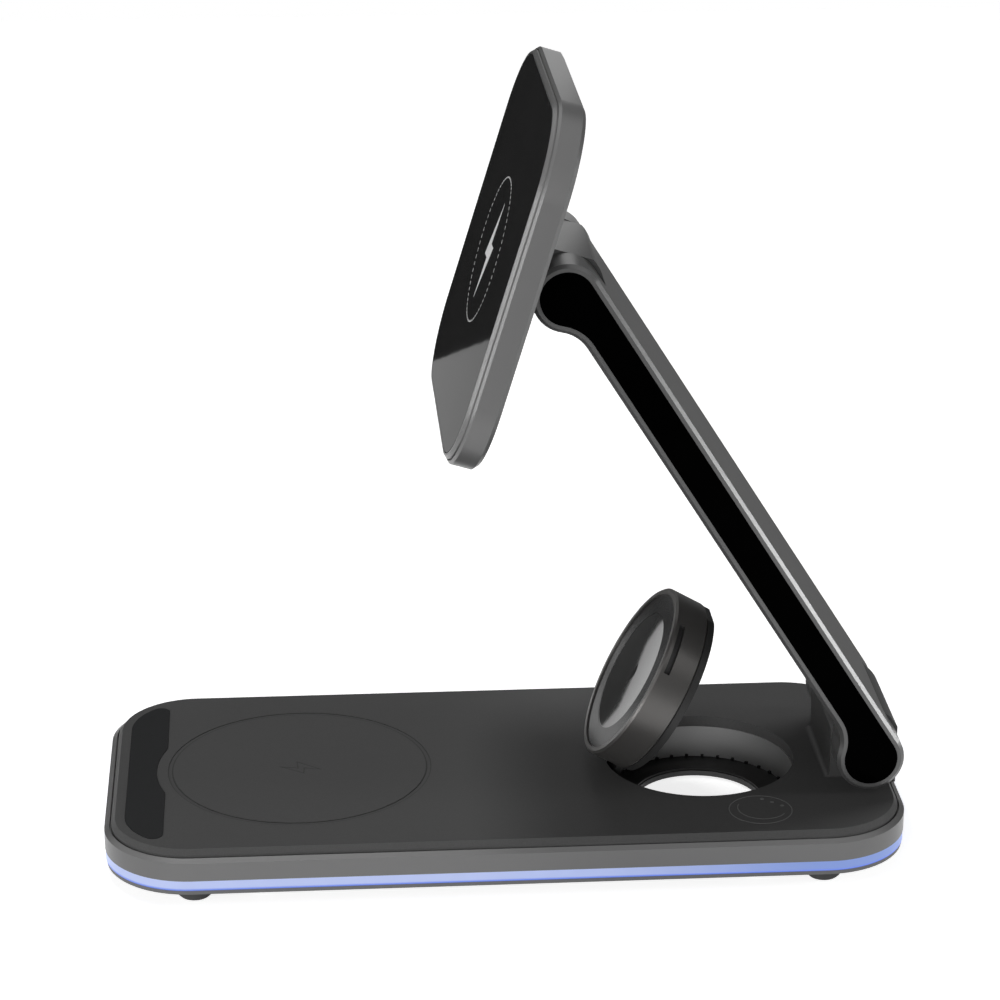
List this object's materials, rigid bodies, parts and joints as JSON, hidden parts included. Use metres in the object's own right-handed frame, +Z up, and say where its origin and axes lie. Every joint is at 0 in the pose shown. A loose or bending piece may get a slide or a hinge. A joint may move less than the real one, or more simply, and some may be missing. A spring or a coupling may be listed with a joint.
{
  "type": "three in one wireless charger",
  "caption": "Desk charger with an earbud pad on a rounded base, a tilting watch puck over a round well and a square phone head on a folding arm.",
  "frame": {"origin": "centre of the base's plan, on the table under the feet", "axes": "+X along the base towards the arm hinge, +Y towards the rear edge with the power inlet, +Z up"},
  "size_m": [0.165, 0.0786, 0.1598],
  "materials": {
    "frame_alloy": "bead-blasted dark grey anodised",
    "stand_alloy": "satin dark grey anodised",
    "puck_alloy": "satin grey anodised",
    "well_alloy": "brushed dark grey",
    "top_coat": "soft-touch dark grey",
    "cover_plastic": "fine-grain grey",
    "light_plastic": "milky, lit from behind in pale blue",
    "grip_rubber": "matte black",
    "foot_rubber": "matte dark grey",
    "black_gloss": "polished black",
    "face_gloss": "polished dark grey",
    "black_glass": "back-printed black",
    "steel": "plain",
    "coated_steel": "black coated",
    "screw_steel": "zinc plated",
    "bronze": "oiled",
    "copper": "enamelled winding",
    "ferrite": "dull grey",
    "magnet": "nickel plated",
    "circuit": "solder mask",
    "flat_cable": "film"
  },
  "bodies": {
    "base": {"bottom_cover": "cover_plastic", "light_guide": "light_plastic", "led_strip": "circuit", "middle_frame": "frame_alloy", "top_plate": "top_coat", "grip_pad": "grip_rubber", "well_ring": "well_alloy", "main_board": "circuit", "ballast_plate": "steel", "earbud_coil": "copper", "earbud_ferrite": "ferrite", "touch_sensor": "circuit", "usb_socket": "steel", "port_trim": "cover_plastic", "port_board": "circuit", "cover_screws": "screw_steel", "hinge_stand": "stand_alloy", "stand_screws": "screw_steel", "base_hinge_bush": "bronze", "puck_hinge_bracket": "steel", "puck_hinge_pin": "steel", "foot_left_front": "foot_rubber", "foot_left_rear": "foot_rubber", "foot_right_front": "foot_rubber", "foot_right_rear": "foot_rubber"},
    "puck": {"puck_shell": "puck_alloy", "puck_face_ring": "face_gloss", "charging_disc": "face_gloss", "puck_hinge_plate": "coated_steel", "puck_coil": "copper", "puck_magnet": "magnet", "puck_ferrite": "ferrite", "puck_board": "circuit"},
    "arm": {"arm_frame": "frame_alloy", "arm_inlay_near": "black_gloss", "arm_inlay_far": "black_gloss", "base_hinge_pin": "steel", "head_hinge_pin": "steel", "arm_cable": "flat_cable"},
    "head": {"head_bracket": "frame_alloy", "head_hinge_bush": "bronze", "bracket_screws": "screw_steel", "rear_shell": "frame_alloy", "bezel_ring": "frame_alloy", "front_glass": "black_glass", "phone_coil": "copper", "phone_ferrite": "ferrite", "magnet_ring": "magnet", "head_board": "circuit"}
  },
  "joints": [
    {"name": "arm_hinge", "type": "hinge", "parent": "base", "child": "arm", "pos_m": [0.07545, 0, 0.0194], "axis": [0, 1, 0], "range_deg": [-14, 15]},
    {"name": "head_hinge", "type": "hinge", "parent": "arm", "child": "head", "pos_m": [0.01188, 0, 0.11988], "axis": [0, 1, 0], "range_deg": [-35, 75]},
    {"name": "puck_hinge", "type": "hinge", "parent": "base", "child": "puck", "pos_m": [0.0176, 0, 0.0087], "axis": [0, 1, 0], "range_deg": [0, 60.35]}
  ]
}
